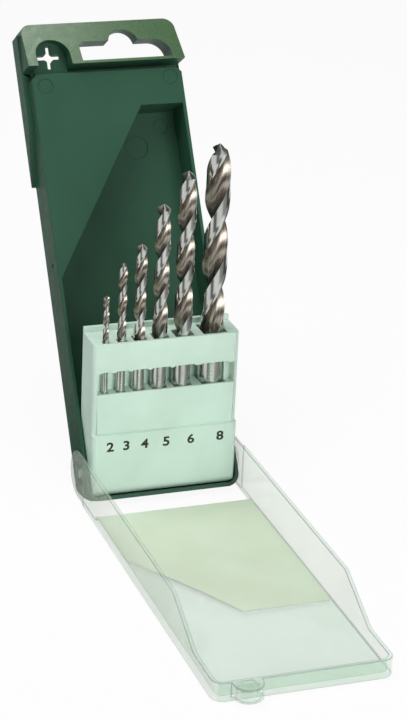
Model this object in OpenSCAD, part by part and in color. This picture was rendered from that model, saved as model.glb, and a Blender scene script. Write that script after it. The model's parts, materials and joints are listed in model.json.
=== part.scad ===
// Case for six twist drills, standing open: a clear lid lies flat, a moulded shell leans back from it,
// and the drill holder stands upright between them. All three turn about one hinge line.
// Millimetres, +Z up. X runs across the case, -Y is the front. The origin is under the middle of the
// open case's bounding box, on the surface that the lid lies on.
// The shell and the holder are drawn upright about the hinge line: x across, d (along Y) from front to
// back, and s (along Z) up from the hinge line. Closed, d = 0 is the middle of the case's thickness.

/* [Case] */
// Width over the lid's side walls
case_w = 55; // [54:0.5:64]
// Thickness of the closed case
case_d = 15.5; // [15:0.1:17]
// Hinge line to the outside of the lid's end wall
lid_len = 134; // [132:0.5:150]
// Height of the shell's header above the lid's end
header_h = 16; // [14.5:0.25:24]
// Thickness of the lid's walls and of the shell's floor
wall = 1.3; // [1:0.05:1.5]
// Thickness of the shell's side walls
shell_wall = 1.2; // [0.9:0.05:1.4]
// How far the opened shell leans back from upright, degrees
lean = 31.85; // [24:0.05:36]

/* [Clearances] */
// Between the lid's side walls and the shell's tub
side_gap = 0.2; // [0.15:0.05:0.5]
// Between the shell's side walls and the holder
holder_side_gap = 0.3; // [0.2:0.05:0.5]
// Between the holder and the closed lid's plate or the shell's floor
holder_gap = 0.3; // [0.25:0.05:0.5]
// Between the lid's end wall and the shell, above and below it
end_gap = 0.5; // [0.4:0.05:0.8]
// Radial clearance of every hinge pin in its hole
pin_clear = 0.05; // [0.02:0.01:0.09]
// Clearance round a drill in its square socket, each side
socket_clear = 0.08; // [0.04:0.01:0.15]

/* [Lid] */
// Thickness of the lid's plate
plate_t = 1.2; // [1:0.05:1.4]
// Hinge line to the edge of the plate
plate_edge = 18.4; // [17:0.1:22]
// Height of the low walls round the lid's end
low_h = 6; // [5:0.1:7]
// Length of the low side walls
low_len = 18; // [14:0.5:24]
// Length of the slope from the low to the high side walls
slope_len = 19.5; // [12:0.5:26]
// Radius of the lid's outer corners
corner_r = 3.8; // [3:0.1:5]
// Radius of the lid's hinge journals
journal_r = 3.4; // [2.8:0.05:3.8]
// Radius of the round recess on the outside of each ear
ear_recess_r = 3.9; // [3:0.1:5]
// Depth of the round recess on the outside of each ear
ear_recess = 0.3; // [0.15:0.05:0.4]
// How far the ears' outsides are set in from the side walls
ear_step = 0.4; // [0.2:0.05:0.5]
// How far the set-in part of the ears reaches in front of the hinge line
ear_reach = 7.4; // [6:0.1:12]
// Radius of the gate mark in the middle of the ear's recess
gate_r = 0.9; // [0.5:0.1:1.4]

/* [Latch] */
// Middle of the latch and of its notch, from the middle of the case
latch_x = -17.8; // [-18.5:0.1:-16]
// Width of the latch cup
latch_w = 9.1; // [7:0.1:10]
// How far the latch cup stands out of the lid's end wall
latch_out = 5.6; // [4.8:0.1:6.2]
// Height of the latch cup's rim above the surface the lid lies on
latch_low = 1.5; // [0.8:0.1:2.5]
// Wall of the latch cup
latch_wall = 1.1; // [0.8:0.1:1.4]
// Diameter of the round recess in the latch
latch_ring = 3.9; // [3:0.1:5]
// Depth of the round recess in the latch
latch_ring_deep = 0.5; // [0.2:0.1:0.6]

/* [Shell] */
// Gap between the closed lid's plate and the shell's rim
rim_gap = 1.3; // [0.9:0.05:1.6]
// Finger gap between the closed lid's low walls and the shell's ledge
finger_gap = 2.9; // [2:0.1:3.5]
// How much further the shell's front rim reaches below the hinge line than the lid's ears
foot_drop = 2.15; // [1.8:0.05:3]
// Radius of the foot's corners seen from the front
foot_corner_r = 4.4; // [4:0.1:7]
// Height of the raised panel along its short side
panel_h = 12.5; // [8:0.5:20]
// Height of the raised panel along its long side
panel_side_h = 68.4; // [40:0.5:80]
// Where the panel's slanted edge meets its lower edge, from the middle
panel_corner_x = 10.3; // [4:0.1:12]
// Chamfer on the panel's top corners
panel_chamfer = 1.7; // [1.2:0.1:2.5]

/* [Header] */
// How far the header's foot stays behind the front of the closed case
header_inset = 0.2; // [0.1:0.05:0.6]
// How far the header's front face leans back at its top
header_slant = 7.15; // [4:0.05:8]
// Radius of the header's top corners
header_r = 3.75; // [2.5:0.05:5]
// Step from the flange to the header's sides, at the foot
header_step = 0.3; // [0.2:0.05:0.8]
// Further step to the header's sides, at the top
header_taper = 0.4; // [0.2:0.05:1]
// Top of the flange below the top of the header
flange_drop = 3; // [2:0.25:5]
// Half width of the latch notch
notch_r = 5.75; // [5.4:0.05:6.2]
// Height of the notch's straight sides
notch_h = 3.85; // [3:0.05:5]
// Gap between the closed latch and the notch's floor
notch_gap = 1.95; // [1.2:0.05:2.4]
// Length of the cross hole's arms
cross_len = 7.8; // [6:0.1:9]
// Width of the cross hole's arms
cross_w = 1.45; // [1:0.05:2]
// Size of the chamfered middle of the cross hole
cross_mid = 3.6; // [3:0.1:5]

/* [Hanging slot] */
// Middle of the hanging slot, from the middle of the case
slot_x = 7.5; // [6.5:0.1:8]
// Width of the hanging slot
slot_w = 31.4; // [28:0.1:32]
// Height of the slot's side lobes
slot_h = 7.1; // [6:0.1:8]
// Radius of the slot's middle arch
slot_arch_r = 5.2; // [4:0.1:6]
// Height of the middle arch above the side lobes
slot_arch_rise = 4.2; // [3:0.1:4.6]
// Width of the bar under the slot
slot_bar = 1.1; // [0.9:0.1:1.6]
// Radius of the slot's left corner
slot_left_r = 2.5; // [1.5:0.1:4]
// Radius of the slot's right corner
slot_right_r = 6; // [4:0.1:6.2]

/* [Holder] */
// Height of the holder's top above the hinge line
holder_top = 47.4; // [45:0.1:52]
// Height of the lip behind the drills above the holder's top
lip_h = 1.8; // [1:0.1:3]
// Thickness of the lip
lip_t = 1.25; // [0.8:0.05:1.6]
// Wall in front of the sockets
socket_front = 1.05; // [0.8:0.05:1.3]
// Height of the window's sill above the hinge line
window_sill = 30.1; // [26:0.1:32]
// Height of the window
window_h = 7.2; // [5:0.1:9]
// Wall at each end of the window
window_end = 1.5; // [1:0.1:2]
// Step above each drill in the window's upper edge
lead_in = 0.4; // [0.2:0.05:0.6]
// Gap between the plate's edge and the number panel's upper edge
number_gap = 2.2; // [1.2:0.1:3]
// Radius of the holder's upright front corners
holder_corner_r = 1.8; // [1:0.1:2.5]
// Radius of the holder's rounded lower front edge
nose_r = 4; // [3:0.1:4.5]
// Radius of the holder's lower corners seen from the front
holder_foot_r = 4; // [3.8:0.1:6]
// Radius of the holder's hinge pins
pin_r = 1.5; // [1.2:0.05:1.8]
// Walls left round the hollows in the holder's back
core_wall = 1.3; // [1:0.05:1.6]

/* [Drill 2] */
// Diameter of the smallest drill
drill_2_d = 2; // [1.5:0.1:2.5]
// Length of the smallest drill
drill_2_len = 49; // [46:0.5:51]
// Length of it that stands out of the holder
drill_2_out = 15.7; // [14:0.1:18]
// Its place across the holder
drill_2_x = -20.1; // [-20.5:0.1:-19.5]

/* [Drill 3] */
// Diameter of the second drill
drill_3_d = 3; // [2.5:0.1:3.5]
// Length of the second drill
drill_3_len = 61; // [58:0.5:64]
// Length of it that stands out of the holder
drill_3_out = 26.1; // [24:0.1:28]
// Its place across the holder
drill_3_x = -14.7; // [-15:0.1:-14.2]

/* [Drill 4] */
// Diameter of the third drill
drill_4_d = 4; // [3.5:0.1:4.5]
// Length of the third drill
drill_4_len = 75; // [72:0.5:77]
// Length of it that stands out of the holder
drill_4_out = 31.7; // [30:0.1:33]
// Its place across the holder
drill_4_x = -8.7; // [-9:0.1:-8.2]

/* [Drill 5] */
// Diameter of the fourth drill
drill_5_d = 5; // [4.5:0.1:5.5]
// Length of the fourth drill
drill_5_len = 86; // [83:0.5:88]
// Length of it that stands out of the holder
drill_5_out = 44.2; // [42:0.1:46]
// Its place across the holder
drill_5_x = -1.7; // [-2:0.1:-1.2]

/* [Drill 6] */
// Diameter of the fifth drill
drill_6_d = 6; // [5.5:0.1:6.5]
// Length of the fifth drill
drill_6_len = 93; // [90:0.5:96]
// Length of it that stands out of the holder
drill_6_out = 54.3; // [52:0.1:56]
// Its place across the holder
drill_6_x = 6.2; // [6:0.1:6.6]

/* [Drill 8] */
// Diameter of the largest drill
drill_8_d = 8; // [7.5:0.1:8.4]
// Length of the largest drill
drill_8_len = 112; // [108:0.5:113]
// Length of it that stands out of the holder
drill_8_out = 62.3; // [61:0.1:64]
// Its place across the holder
drill_8_x = 16.5; // [16:0.1:16.8]

/* [Drill form] */
// Full angle of the drills' points, degrees
point_angle = 118; // [90:1:140]
// Angle of the flutes' helix, degrees
helix_angle = 29; // [20:0.5:35]
// How far the flutes run down into the holder's top
flute_below = 6; // [3:0.5:8]
// Thickness of the web between the flutes, as a share of the drill's radius
web_share = 0.3; // [0.2:0.05:0.45]

/* [Card] */
// Thickness of the card that lies in the lid
card_t = 0.2; // [0.1:0.05:0.25]
// Length of the card's short side
card_short = 31; // [20:0.5:40]
// Length of the card's long side
card_long = 70; // [50:0.5:90]
// Where the card's slanted edge meets its end, from the middle
card_corner_x = -2.3; // [-8:0.1:4]
// Gap between the card and the lid's walls
card_gap = 0.2; // [0.1:0.05:0.5]
// Gap between the card and the plate's edge
card_back = 0.6; // [0.2:0.1:2]

/* [Hidden] */
$fn = 64;
over = 1;                 // how far cuts run past the faces they open
mark_deep = 0.15;         // depth of the ejector marks
mark_r = 2.5;             // radius of the ejector marks on the panel
mark_edge = 0.6;          // their distance from the panel's side edges
wide_mark_r = 3.9;        // radius of the ejector mark under the panel's corner
dimple_r = 0.8;           // radius of the dimple on each of the tub's side walls

// the lid
half_w = case_w / 2;
lid_in = half_w - wall;
hinge_z = case_d / 2;
lid_back = case_d / 2;
ear_out = half_w - ear_step;
pin_end = ear_out - 2 * ear_recess;
journal_end = (lid_in + ear_out - ear_recess) / 2;
low_start = lid_len - low_len;
high_end = low_start - slope_len;
latch_r = latch_w / 2;
latch_mid = lid_len + latch_out - latch_r;

// the shell: depths d and heights s about the hinge line
front = -case_d / 2;
back = case_d / 2;
tub_out = lid_in - side_gap;
tub_in = tub_out - shell_wall;
rim_d = front + plate_t + rim_gap;
floor_d = back - wall;
ledge_d = front + low_h + finger_gap;
web_back = ledge_d + wall;
notch_floor = front + low_h + notch_gap;
header_s = lid_len + end_gap;
header_top = header_s + header_h;
panel_top = lid_len - wall - end_gap;
panel_low = panel_top - panel_h;
panel_side = panel_top - panel_side_h;
shell_low = -hinge_z - foot_drop;

// the place of the hinge line that centres the open case on the origin
hinge_y = (lid_len + latch_out - back * cos(lean) - header_top * sin(lean)) / 2;

// the hanging slot
slot_low = header_s + slot_bar;
slot_left = slot_x - slot_w / 2;
slot_right = slot_x + slot_w / 2;

// the holder
holder_w = tub_in - holder_side_gap;
holder_front = front + plate_t + holder_gap;
holder_back = floor_d - holder_gap;
number_top = plate_edge - number_gap;
window_top = window_sill + window_h;
window_x = holder_w - window_end;
barrel_r = holder_back;
nose_d = front + nose_r;
nose_s = nose_r - barrel_r;

// the slope of the foot's front flat, which passes the holder's nose in the open case by the holder's gap
nose_run = nose_d * cos(lean) - nose_s * sin(lean) - rim_d;
nose_rise = nose_d * sin(lean) + nose_s * cos(lean) - shell_low;
foot_slope = atan2(nose_rise, nose_run) - asin((nose_r + holder_gap + wall) / norm([nose_run, nose_rise]));

// the sockets and the hollows behind them
socket_d = holder_front + socket_front;
core_low = barrel_r + core_wall;
core_top = holder_top - 2 * core_wall;
core_rib = 1.2;

// the drills, smallest first: diameter, length, length that stands out, place across the holder
DRILLS = [
    [drill_2_d, drill_2_len, drill_2_out, drill_2_x],
    [drill_3_d, drill_3_len, drill_3_out, drill_3_x],
    [drill_4_d, drill_4_len, drill_4_out, drill_4_x],
    [drill_5_d, drill_5_len, drill_5_out, drill_5_x],
    [drill_6_d, drill_6_len, drill_6_out, drill_6_x],
    [drill_8_d, drill_8_len, drill_8_out, drill_8_x],
];
LAST = len(DRILLS) - 1;
CORNERS = 10;             // corners on each half of a drill's section
LAND = 3;                 // of which the land takes this many
BEND = 24;                // degrees of helix between two rings
TIP = 0.06;               // width left at the very tip, as a share of the drill's
margin_step = 0.02;       // how much narrower the fluted length is than the shank

function socket_w(i) = DRILLS[i][0] + 2 * socket_clear;
function socket_floor(i) = holder_top + DRILLS[i][2] - DRILLS[i][1];
function socket_right(i) = DRILLS[i][3] + socket_w(i) / 2;
function cell_left(i) = i == 0 ? -window_x : socket_right(i - 1);

// ---- helpers -------------------------------------------------------------------------------------

// a box from its two corners
module slab(x0, x1, d0, d1, s0, s1) {
    translate([x0, d0, s0]) cube([x1 - x0, d1 - d0, s1 - s0]);
}

// a side view, drawn as (d, s), carried across from x0 to x1
module across(x0, x1) {
    translate([x0, 0, 0]) rotate([90, 0, 90]) linear_extrude(x1 - x0) children();
}

// a front view, drawn as (x, s), carried from depth d0 back to depth d1
module through(d0, d1) {
    translate([0, d1, 0]) rotate([90, 0, 0]) linear_extrude(d1 - d0) children();
}

// a rectangle from its two corners
module area(x0, x1, y0, y1) {
    translate([x0, y0]) square([x1 - x0, y1 - y0]);
}

// a rectangle of half width w whose two lower corners are round
module round_foot(w, y0, y1, r) {
    area(-w, w, y0 + r, y1);
    area(r - w, w - r, y0, y1);
    for (side = [-1, 1]) translate([side * (w - r), y0 + r]) circle(r);
}

// a round pin or hole across the case, on the hinge line
module hinge_round(r, x0, x1) {
    translate([x0, 0, 0]) rotate([0, 90, 0]) cylinder(r = r, h = x1 - x0);
}

// the same feature on the left and on the right
module both_sides() {
    children();
    mirror([1, 0, 0]) children();
}

// the shell where it leans in the open case, and the holder upright in it
module leaning() { translate([0, hinge_y, hinge_z]) rotate([-lean, 0, 0]) children(); }
module upright() { translate([0, hinge_y, hinge_z]) children(); }

// ---- lid -----------------------------------------------------------------------------------------

module lid_side() {
    polygon([[0, 0], [-lid_len, 0], [-lid_len, low_h], [-low_start, low_h],
             [-high_end, case_d], [0, case_d]]);
    translate([0, hinge_z]) circle(case_d / 2);
}

// a cup open downwards, half round in front, on the outside of the lid's end wall
module latch_cup() {
    root = -lid_len + wall / 2;
    difference() {
        intersection() {
            union() {
                slab(latch_x - latch_r, latch_x + latch_r, -latch_mid, root, latch_low, low_h);
                translate([latch_x, -latch_mid, latch_low]) cylinder(r = latch_r, h = low_h - latch_low);
            }
            slab(latch_x - latch_w, latch_x + latch_w, -lid_len - latch_out - over, root, 0, low_h);
        }
        translate([latch_x, -latch_mid, latch_low - over])
            cylinder(r = latch_r - latch_wall, h = low_h - latch_low - latch_wall + over);
        translate([latch_x, -latch_mid, low_h - latch_ring_deep])
            cylinder(d = latch_ring, h = latch_ring_deep + over);
    }
}

module lid() {
    color("#dbeadf") translate([0, hinge_y, 0]) {
        difference() {
            union() {
                tray();
                both_sides() translate([0, 0, hinge_z]) hinge_round(journal_r, tub_in + pin_clear, journal_end);
            }
            // the pin holes, and each ear's round recess with a gate mark in its middle
            both_sides() translate([0, 0, hinge_z]) {
                hinge_round(pin_r + pin_clear, tub_in, pin_end);
                difference() {
                    hinge_round(ear_recess_r, ear_out - ear_recess, half_w);
                    hinge_round(gate_r, lid_in, ear_out);
                }
            }
        }
        latch_cup();
    }
}

// the plate and its walls, with the ears' outsides set in
module tray() {
    difference() {
        intersection() {
            across(-half_w, half_w) lid_side();
            linear_extrude(case_d) round_foot(half_w, -lid_len, lid_back, corner_r);
        }
        translate([0, 0, plate_t])
            linear_extrude(case_d) round_foot(lid_in, wall - lid_len, lid_back + over, corner_r - wall);
        slab(-lid_in, lid_in, -plate_edge, lid_back + over, -over, case_d);
        both_sides() slab(ear_out, half_w + over, -ear_reach, lid_back + over, -over, case_d + over);
    }
}

// ---- shell ---------------------------------------------------------------------------------------

// Side view of the tub, set in by g: straight back, open front, and a foot in two flats. The rear flat
// lies on the table when the case stands open; the front one rises a little behind the rim.
module tub_side(g, top) {
    rear = back - g;
    rise = tan(foot_slope);
    table = tan(lean);
    rim_s = shell_low + g / cos(foot_slope);
    table_s = (g - hinge_z) / cos(lean);
    heel_d = (rim_s - rise * rim_d - table_s) / (table - rise);
    polygon([[rim_d - over, rim_s - rise * over], [heel_d, table_s + table * heel_d],
             [rear, table_s + table * rear], [rear, top], [rim_d - over, top]]);
}

// Front view of the open pocket, and of the raised panel grown by g beyond its edges. The pocket's lower
// corners stay sharper than the holder's, which turn in them.
module pocket_front() {
    difference() {
        round_foot(tub_in, shell_low + wall, panel_low,
                   min(foot_corner_r - shell_wall, holder_foot_r - 2 * holder_gap));
        panel_front(0);
    }
}

module panel_front(g) {
    run = panel_corner_x + tub_in;
    rise = panel_low - panel_side;
    up = g * norm([run, rise]) / run;
    polygon([[-tub_in, panel_side - up], [-tub_in, panel_top], [panel_corner_x, panel_top],
             [panel_corner_x + g, panel_low - g], [panel_corner_x, panel_low - up]]);
    area(panel_corner_x, tub_in, panel_low - g, panel_top);
}

// front view of the header, set in by g
module header_front(g) {
    foot_w = half_w - header_step - g;
    top_w = foot_w - header_taper;
    r = header_r - g;
    shoulder = header_top - header_r;
    polygon([[-foot_w, header_s], [foot_w, header_s], [top_w, shoulder], [-top_w, shoulder]]);
    area(r - top_w, top_w - r, header_s, header_top - g);
    for (side = [-1, 1]) translate([side * (top_w - r), shoulder]) circle(r);
}

// side view of the header: its front face leans back towards the top
module header_side(g) {
    foot = front + header_inset + g;
    slant = header_slant / header_h;
    polygon([[foot, header_s + g], [foot + slant * (header_h - 2 * g), header_top - g],
             [web_back, header_top - g], [web_back, header_s + g]]);
}

// front view of the latch notch, grown by g
module notch_front(g) {
    area(latch_x - notch_r - g, latch_x + notch_r + g, header_s - over, header_s + notch_h);
    translate([latch_x, header_s + notch_h]) circle(notch_r + g);
}

// front view of the hanging slot, grown by g
module slot_front(g) {
    lobe = slot_low + slot_h;
    area(slot_left - g, slot_right - slot_right_r, slot_low - g, lobe - slot_left_r);
    area(slot_left + slot_left_r, slot_right - slot_right_r, slot_low - g, lobe + g);
    translate([slot_left + slot_left_r, lobe - slot_left_r]) circle(slot_left_r + g);
    area(slot_right - slot_right_r - g, slot_right + g, slot_low - g, lobe - slot_right_r);
    translate([slot_right - slot_right_r, lobe - slot_right_r]) intersection() {
        circle(slot_right_r + g);
        area(-slot_right_r, slot_right_r + g, slot_low - lobe + slot_right_r - g, slot_right_r + g);
    }
    translate([slot_x, lobe + slot_arch_rise - slot_arch_r]) circle(slot_arch_r + g);
}

module cross_front() {
    translate([latch_x, header_s + notch_h + cross_w / 2]) {
        square([cross_len, cross_w], center = true);
        square([cross_w, cross_len], center = true);
        intersection() {
            square(cross_mid, center = true);
            rotate(45) square(cross_mid * 0.85, center = true);
        }
    }
}

module shell_body() {
    intersection() {
        across(-tub_out, tub_out) tub_side(0, header_s + wall);
        through(rim_d, back) round_foot(tub_out, shell_low, header_s + wall, foot_corner_r);
    }
    across(-half_w, half_w)
        polygon([[back, high_end + side_gap * 2], [ledge_d, low_start], [ledge_d, header_top - flange_drop],
                 [back, header_top - flange_drop]]);
    intersection() {
        across(-half_w, half_w) union() {
            header_side(0);
            area(web_back - wall, back, header_s, header_top);
        }
        through(front, back) header_front(0);
    }
}

module shell_cuts() {
    // the open pocket
    intersection() {
        across(-tub_in, tub_in) tub_side(wall, panel_top);
        through(rim_d - over, floor_d) pocket_front();
    }
    // the channel that takes the lid's end wall
    difference() {
        slab(-half_w - over, half_w + over, front - over, ledge_d, panel_top, header_s);
        slab(latch_x - notch_r, latch_x + notch_r, notch_floor, ledge_d, panel_top, header_s);
    }
    both_sides() through(front, ledge_d)
        polygon([[tub_out - panel_chamfer, panel_top], [tub_out + over, panel_top],
                 [tub_out + over, panel_top - panel_chamfer - over]]);
    // the latch notch, the cross hole in its floor, and the hanging slot
    through(front - over, notch_floor) notch_front(0);
    through(front, back) cross_front();
    through(front - over, back + over) slot_front(0);
    // the hinge holes
    both_sides() hinge_round(journal_r + pin_clear, tub_in - over, tub_out + over);
    // the hollow behind the raised panel
    through(rim_d + wall, back + over) difference() {
        area(-tub_in, tub_in, panel_side, panel_top - wall);
        back_edge();
    }
    // the hollow behind the channel and the header
    through(web_back, back + over) {
        area(-lid_in, lid_in, low_start + wall + panel_h / 2, header_s + wall);
        header_front(wall);
    }
    // the hollow behind the header's front face, round the slot and the notch
    difference() {
        intersection() {
            across(-half_w, half_w) header_side(wall);
            through(front, web_back) header_front(wall);
        }
        through(front, web_back) slot_front(shell_wall);
        through(front, web_back) notch_front(shell_wall);
    }
    // ejector marks and the two small dimples on the side walls
    ejector_mark(mark_r + mark_edge - tub_in, panel_top - panel_chamfer - mark_r, rim_d, mark_r);
    ejector_mark(tub_in - mark_edge - mark_r, panel_top - mark_r - panel_chamfer / 2, rim_d, mark_r);
    ejector_mark(panel_corner_x, panel_low - 3 * wide_mark_r, floor_d, wide_mark_r);
    ejector_mark(tub_in - 2 * mark_r, panel_low - 2 * mark_r, floor_d, mark_r);
    both_sides() translate([0, 0, panel_side + 2 * mark_r])
        hinge_round(dimple_r, tub_out - mark_deep * 2, tub_out + over);
}

// everything outside the hollow behind the raised panel: the pocket's side of the slanted wall
module back_edge() {
    run = panel_corner_x + tub_in;
    rise = panel_low - panel_side;
    up = wall * norm([run, rise]) / run;
    polygon([[-tub_in - over, panel_side + up - over * rise / run], [panel_corner_x, panel_low + up],
             [panel_corner_x, panel_side - over], [-tub_in - over, panel_side - over]]);
    area(panel_corner_x - wall, tub_in + over, panel_side - over, panel_low + wall);
}

module ejector_mark(x, s, d, r) {
    translate([x, d + mark_deep, s]) rotate([90, 0, 0]) cylinder(r = r, h = mark_deep + over);
}

module shell() {
    color("#2d5541") leaning() difference() {
        shell_body();
        shell_cuts();
    }
}

// ---- holder --------------------------------------------------------------------------------------

// plan of the holder with round front corners, from depth d0 to the back
module holder_plan(d0) {
    round_foot(holder_w, d0, holder_back, holder_corner_r);
}

module holder_side(d0, top) {
    polygon([[d0, nose_s], [nose_d, -barrel_r], [0, -barrel_r], [holder_back, 0],
             [holder_back, top], [d0, top]]);
    circle(barrel_r);
    translate([nose_d, nose_s]) circle(nose_r);
}

module holder_block(d0, top) {
    intersection() {
        across(-holder_w, holder_w) intersection() {
            holder_side(d0, top);
            area(d0, back, -barrel_r - over, top);
        }
        translate([0, 0, -barrel_r - over]) linear_extrude(top + case_d) holder_plan(d0);
        through(front, back) round_foot(holder_w, -barrel_r, top, holder_foot_r);
    }
}

module holder() {
    color("#cfe6d8") upright() {
        difference() {
            union() {
                holder_block(holder_front, holder_top);
                holder_block(front, number_top);
                slab(-holder_w, holder_w, holder_back - lip_t, holder_back, holder_top - over, holder_top + lip_h);
            }
            for (i = [0 : LAST]) socket(i);
            slab(socket_right(LAST) - over, window_x, front - over, holder_front + 3 * socket_front,
                 window_sill, window_top);
        }
        both_sides() hinge_round(pin_r, holder_w - over, pin_end - 2 * pin_clear);
    }
}

// a drill's square socket, its share of the window, and the hollow in the back behind it
module socket(i) {
    w = socket_w(i);
    x = DRILLS[i][3];
    rear = socket_d + w;
    slab(x - w / 2, x + w / 2, socket_d, rear, socket_floor(i), holder_top + over);
    slab(cell_left(i), x + w / 2, front - over, rear, window_sill, window_top);
    slab(x - w / 2 - lead_in, x + w / 2 + lead_in, front - over, rear, window_top - over, window_top + lead_in);
    slab(cell_left(i) + core_rib / 2, x + w / 2 - core_rib / 2, rear + core_wall, holder_back + over,
         core_low, core_top);
}

// ---- drills --------------------------------------------------------------------------------------

// Reach of a two-flute section at corner k of each half turn: a land, then a rounded flute.
function reach(k) = k <= LAND ? 1 : 1 - (1 - web_share) * sin(180 * (k - LAND) / (CORNERS - LAND));

// The fluted length as one closed skin of twisted rings, from height z0 up to its point at z1.
// Above the shoulder every corner is held inside the cone of the point.
module fluted(r, z0, z1) {
    point = r / tan(point_angle / 2);
    turn = 360 * tan(helix_angle) / (2 * PI * r);
    bends = ceil((z1 - point - z0) * turn / BEND);
    heights = concat([for (j = [0 : bends]) z0 + (z1 - point - z0) * j / bends],
                     [z1 - 0.6 * point, z1 - 0.25 * point, z1]);
    n = 2 * CORNERS;
    rings = len(heights);
    points = [for (z = heights) let (cone = max((z1 - z) * tan(point_angle / 2), TIP * r))
        for (k = [0 : n - 1]) let (a = 360 * k / n + (z - z0) * turn, c = min(r * reach(k % CORNERS), cone))
            [c * cos(a), c * sin(a), z]];
    sides = [for (j = [0 : rings - 2]) for (k = [0 : n - 1]) let (a = j * n + k, b = j * n + (k + 1) % n)
        for (t = [[a, a + n, b + n], [a, b + n, b]]) t];
    caps = [[for (k = [0 : n - 1]) k], [for (k = [1 : n]) rings * n - k]];
    polyhedron(points, concat(sides, caps));
}

module drill(i) {
    r = DRILLS[i][0] / 2;
    base = socket_floor(i);
    flute_base = holder_top - flute_below;
    color("#8b8d88") upright() translate([DRILLS[i][3], socket_d + socket_clear + r, 0]) {
        translate([0, 0, base]) cylinder(r = r, h = flute_base - base);
        fluted(r - margin_step, flute_base - margin_step, holder_top + DRILLS[i][2]);
    }
}

// ---- card ----------------------------------------------------------------------------------------

module card() {
    w = lid_in - card_gap;
    y0 = -plate_edge - card_back;
    color("#dfe3cf") translate([0, hinge_y, plate_t]) linear_extrude(card_t)
        polygon([[-w, y0], [w, y0], [w, y0 - card_long], [card_corner_x, y0 - card_long], [-w, y0 - card_short]]);
}

lid();
shell();
holder();
drill(0);  // drill_2
drill(1);  // drill_3
drill(2);  // drill_4
drill(3);  // drill_5
drill(4);  // drill_6
drill(5);  // drill_8
card();
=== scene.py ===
# %% [markdown]
# # A pocket case for six twist drills
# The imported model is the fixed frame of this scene: it says where every piece is and how it turns.
# This lesson dresses it. Clear lid, moulded shell and holder keep their exact form and only get their
# edges softened; the drills, the card and the numbers are new surfaces, worked out with numpy.

# %% The frame
import json
import math

import bmesh
import bpy
import numpy as np
from mathutils import Matrix, Vector
from mathutils.bvhtree import BVHTree
from mathutils.kdtree import KDTree


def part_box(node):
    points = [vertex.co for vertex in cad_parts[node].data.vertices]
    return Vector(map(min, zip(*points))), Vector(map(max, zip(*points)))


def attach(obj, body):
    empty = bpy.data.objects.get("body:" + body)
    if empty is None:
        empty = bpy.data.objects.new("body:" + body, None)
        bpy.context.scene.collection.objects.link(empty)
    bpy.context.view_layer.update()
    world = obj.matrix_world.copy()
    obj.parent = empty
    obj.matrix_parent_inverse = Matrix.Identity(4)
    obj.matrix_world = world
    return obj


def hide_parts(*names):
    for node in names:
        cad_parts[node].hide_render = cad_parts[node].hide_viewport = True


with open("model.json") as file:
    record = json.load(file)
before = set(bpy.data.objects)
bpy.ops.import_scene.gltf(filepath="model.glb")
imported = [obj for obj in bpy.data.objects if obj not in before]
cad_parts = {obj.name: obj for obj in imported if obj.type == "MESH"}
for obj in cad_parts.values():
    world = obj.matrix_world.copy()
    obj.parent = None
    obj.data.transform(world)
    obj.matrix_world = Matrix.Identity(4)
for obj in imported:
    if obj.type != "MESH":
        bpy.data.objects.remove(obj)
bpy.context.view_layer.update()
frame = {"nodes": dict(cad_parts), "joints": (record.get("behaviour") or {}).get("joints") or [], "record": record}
scene = bpy.context.scene
scene.view_settings.view_transform = "Standard"
MM = 0.001
HINGE = next(j for j in frame["joints"] if j["name"] == "shell_hinge")["pos_m"]
HINGE_Y, HINGE_Z = HINGE[1], HINGE[2]
print("hinge line at", HINGE)

# %% [markdown]
# ## The camera
# A camera is a place, a direction and a focal length. These were found by laying the case's known
# corners over the photograph: a long lens, held in front of the case, to its left and above it.
# Yaw turns the view about the upright axis, pitch tips it down and roll leans it.

# %% The camera
LENS_PX = 2405.892          # focal length in pixels of the photograph
PHOTO_H = 720               # the photograph's height in pixels
SENSOR = 36.0               # sensor millimetres along the photograph's long side
YAW, PITCH, ROLL = -0.355218, -0.400583, 0.045641
CAMERA_PLACE = Vector((-234.664, -672.002 + HINGE_Y / MM, 347.313)) * MM


def camera_axes(yaw, pitch, roll):
    """The camera's right, up and backward directions: look along +Y, turn by yaw, tip by pitch, roll."""
    ahead = Vector((-math.sin(yaw) * math.cos(pitch), math.cos(yaw) * math.cos(pitch), math.sin(pitch)))
    level = Vector((math.cos(yaw), math.sin(yaw), 0.0))
    above = level.cross(ahead)
    right = math.cos(roll) * level + math.sin(roll) * above
    up = math.cos(roll) * above - math.sin(roll) * level
    return right, up, -ahead


camera = bpy.data.objects.new("camera", bpy.data.cameras.new("camera"))
scene.collection.objects.link(camera)
camera.data.sensor_width = SENSOR
camera.data.lens = LENS_PX * SENSOR / PHOTO_H
camera.data.clip_start, camera.data.clip_end = 0.01, 20
turn = Matrix(camera_axes(YAW, PITCH, ROLL)).transposed().to_4x4()
camera.matrix_world = Matrix.Translation(CAMERA_PLACE) @ turn
scene.camera = camera
print("lens", round(camera.data.lens, 2), "mm")

# %% [markdown]
# ## Small helpers for materials
# Every finish is a node tree that reads Object coordinates, in metres. Noise and waves are scaled in
# features per metre, so a scale of 2000 gives marks about half a millimetre across.

# %% Material helpers


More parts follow.
